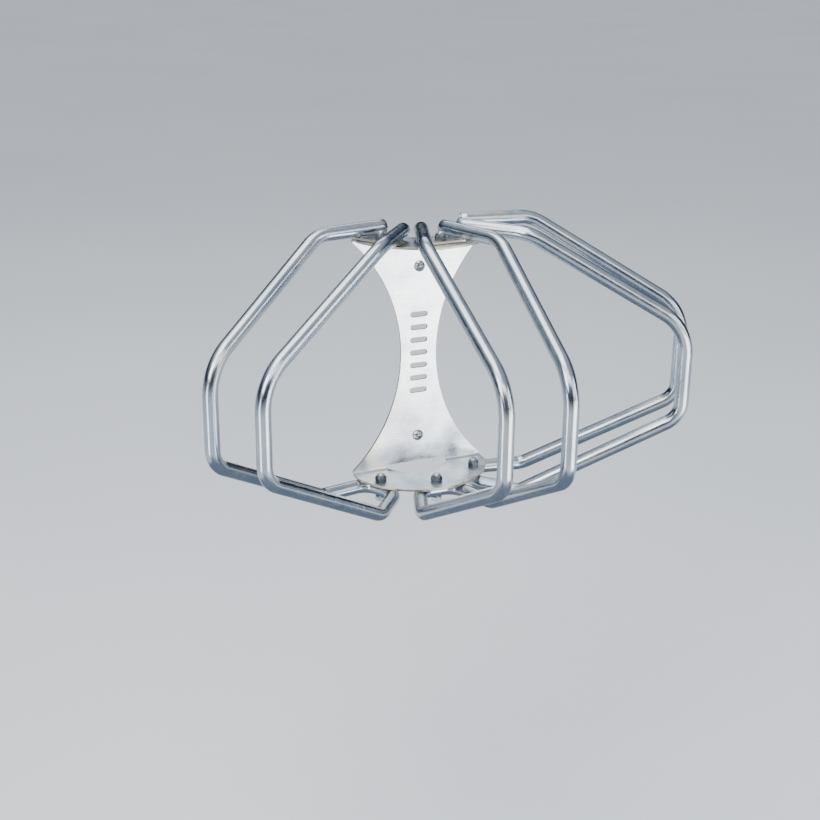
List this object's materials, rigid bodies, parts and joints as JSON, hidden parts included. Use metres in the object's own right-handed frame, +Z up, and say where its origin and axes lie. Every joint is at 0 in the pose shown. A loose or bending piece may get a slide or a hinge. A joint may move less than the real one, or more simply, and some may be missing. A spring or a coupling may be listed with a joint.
{
  "type": "bicycle wall rack",
  "caption": "Waisted sheet bracket for a wall with bent tube hoops fanned out from it, each holding a bicycle's front wheel and swivelling about an upright axis.",
  "frame": {"origin": "on the wall plane, midway between the two wall screws", "axes": "+X right along the wall as seen by someone facing it, +Y into the wall, +Z up"},
  "size_m": [0.6398, 0.38, 0.3611],
  "materials": {
    "plated_tube": "bright zinc, glossy",
    "plated_sheet": "bright zinc, satin",
    "plated_yoke": "bright zinc, satin",
    "plated_bolt": "bright zinc, satin",
    "plated_nut": "zinc, dull",
    "plated_screw": "bright zinc, satin",
    "nylon": "translucent nylon"
  },
  "bodies": {
    "bracket": {"wall_bracket": "plated_sheet", "upper_pivot_bolts": "plated_bolt", "upper_lock_nuts": "plated_nut", "upper_nut_inserts": "nylon", "lower_pivot_bolts": "plated_bolt", "lower_lock_nuts": "plated_nut", "lower_nut_inserts": "nylon", "wall_screws": "plated_screw"},
    "left_holder": {"hoop_left": "plated_tube", "top_yoke_left": "plated_yoke"},
    "centre_holder": {"hoop_centre": "plated_tube", "top_yoke_centre": "plated_yoke"},
    "right_holder": {"hoop_right": "plated_tube", "top_yoke_right": "plated_yoke"}
  },
  "joints": [
    {"name": "left_swivel", "type": "hinge", "parent": "bracket", "child": "left_holder", "pos_m": [-0.066, -0.036, 0], "axis": [0, 0, 1], "range_deg": [-10, 10]},
    {"name": "centre_swivel", "type": "hinge", "parent": "bracket", "child": "centre_holder", "pos_m": [0, -0.064, 0], "axis": [0, 0, 1], "range_deg": [-8, 8]},
    {"name": "right_swivel", "type": "hinge", "parent": "bracket", "child": "right_holder", "pos_m": [0.066, -0.036, 0], "axis": [0, 0, 1], "range_deg": [-10, 10]}
  ]
}
